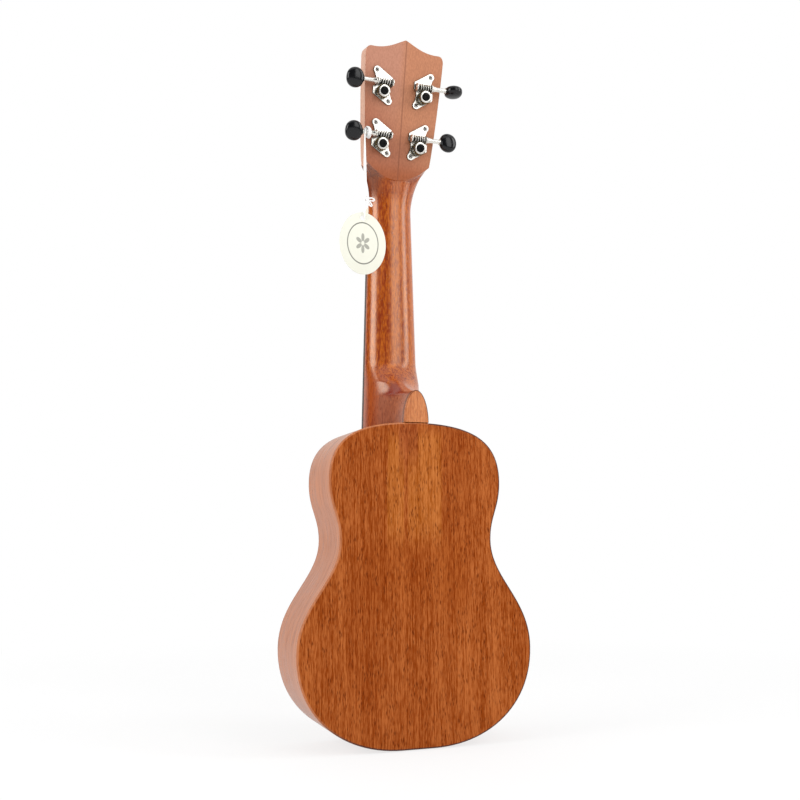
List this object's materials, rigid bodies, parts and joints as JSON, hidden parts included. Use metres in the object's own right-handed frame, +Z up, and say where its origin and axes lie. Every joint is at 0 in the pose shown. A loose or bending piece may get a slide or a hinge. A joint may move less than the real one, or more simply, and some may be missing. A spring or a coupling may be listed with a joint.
{
  "type": "ukulele",
  "caption": "Small ukulele with a figure-eight sound box, scooped heel, tilted headstock, open-gear tuners driven by worms under oval buttons, and a paper tag on a looped cord.",
  "frame": {"origin": "middle of the flat at the tail of the sound box, half way through the box's depth", "axes": "+Z up the neck to the headstock, +Y out of the back, -Y out of the soundboard, +X to the treble side"},
  "size_m": [0.176, 0.0711, 0.5356],
  "materials": {
    "body_wood": "satin",
    "inner_wood": "raw",
    "neck_wood": "gloss",
    "dark_wood": "satin",
    "fret_wire": "polished",
    "bone": "satin",
    "nylon": "clear",
    "nickel": "polished",
    "gear_metal": "plated",
    "black_screw": "black",
    "button": "gloss",
    "tag_card": "matt",
    "tag_cord": "matt"
  },
  "bodies": {
    "instrument": {"back_brace_lower": "inner_wood", "back_brace_upper": "inner_wood", "back_lining": "inner_wood", "back_plate": "body_wood", "bridge": "dark_wood", "fret_01": "fret_wire", "fret_02": "fret_wire", "fret_03": "fret_wire", "fret_04": "fret_wire", "fret_05": "fret_wire", "fret_06": "fret_wire", "fret_07": "fret_wire", "fret_08": "fret_wire", "fret_09": "fret_wire", "fret_10": "fret_wire", "fret_11": "fret_wire", "fret_12": "fret_wire", "fretboard": "dark_wood", "heel_cap": "body_wood", "neck": "neck_wood", "neck_block": "inner_wood", "nut": "bone", "rib_bass": "body_wood", "rib_treble": "body_wood", "saddle": "bone", "soundboard": "body_wood", "soundboard_brace_lower": "inner_wood", "soundboard_brace_upper": "inner_wood", "string_a": "nylon", "string_c": "nylon", "string_e": "nylon", "string_g": "nylon", "tail_block": "inner_wood", "top_lining": "inner_wood", "tuner_a_bushing": "nickel", "tuner_a_plate": "nickel", "tuner_c_bushing": "nickel", "tuner_c_plate": "nickel", "tuner_e_bushing": "nickel", "tuner_e_plate": "nickel", "tuner_g_bushing": "nickel", "tuner_g_plate": "nickel"},
    "tag": {"hang_tag": "tag_card", "tag_cord": "tag_cord"},
    "worm_a": {"tuner_a_button": "button", "tuner_a_worm": "nickel"},
    "post_a": {"tuner_a_gear_post": "gear_metal", "tuner_a_gear_screw": "black_screw"},
    "worm_c": {"tuner_c_button": "button", "tuner_c_worm": "nickel"},
    "post_c": {"tuner_c_gear_post": "gear_metal", "tuner_c_gear_screw": "black_screw"},
    "worm_e": {"tuner_e_button": "button", "tuner_e_worm": "nickel"},
    "post_e": {"tuner_e_gear_post": "gear_metal", "tuner_e_gear_screw": "black_screw"},
    "worm_g": {"tuner_g_button": "button", "tuner_g_worm": "nickel"},
    "post_g": {"tuner_g_gear_post": "gear_metal", "tuner_g_gear_screw": "black_screw"}
  },
  "joints": [
    {"name": "tuner_g_button_turn", "type": "hinge", "parent": "instrument", "child": "worm_g", "pos_m": [-0.0156, 0.001, 0.45825], "axis": [-1, 0, 0], "continuous": true},
    {"name": "tuner_g_post_turn", "type": "hinge", "parent": "instrument", "child": "post_g", "pos_m": [-0.0156, -0.00548, 0.45235], "axis": [0, 0.9748, -0.2233], "continuous": true},
    {"name": "tuner_c_button_turn", "type": "hinge", "parent": "instrument", "child": "worm_c", "pos_m": [-0.01725, 0.00996, 0.49734], "axis": [-1, 0, 0], "continuous": true},
    {"name": "tuner_c_post_turn", "type": "hinge", "parent": "instrument", "child": "post_c", "pos_m": [-0.01725, 0.00348, 0.49144], "axis": [0, 0.9748, -0.2233], "continuous": true},
    {"name": "tuner_e_button_turn", "type": "hinge", "parent": "instrument", "child": "worm_e", "pos_m": [0.01725, 0.00996, 0.49734], "axis": [1, 0, 0], "continuous": true},
    {"name": "tuner_e_post_turn", "type": "hinge", "parent": "instrument", "child": "post_e", "pos_m": [0.01725, 0.00348, 0.49144], "axis": [0, 0.9748, -0.2233], "continuous": true},
    {"name": "tuner_a_button_turn", "type": "hinge", "parent": "instrument", "child": "worm_a", "pos_m": [0.0156, 0.001, 0.45825], "axis": [1, 0, 0], "continuous": true},
    {"name": "tuner_a_post_turn", "type": "hinge", "parent": "instrument", "child": "post_a", "pos_m": [0.0156, -0.00548, 0.45235], "axis": [0, 0.9748, -0.2233], "continuous": true},
    {"name": "tag_swing", "type": "hinge", "parent": "instrument", "child": "tag", "pos_m": [0.0302, 0.001, 0.45825], "axis": [1, 0, 0], "range_deg": [-7, 60]}
  ],
  "couplings": [
    {"joint": "tuner_g_post_turn", "follows": "tuner_g_button_turn", "ratio": 0.0625},
    {"joint": "tuner_c_post_turn", "follows": "tuner_c_button_turn", "ratio": 0.0625},
    {"joint": "tuner_e_post_turn", "follows": "tuner_e_button_turn", "ratio": 0.0625},
    {"joint": "tuner_a_post_turn", "follows": "tuner_a_button_turn", "ratio": 0.0625}
  ]
}
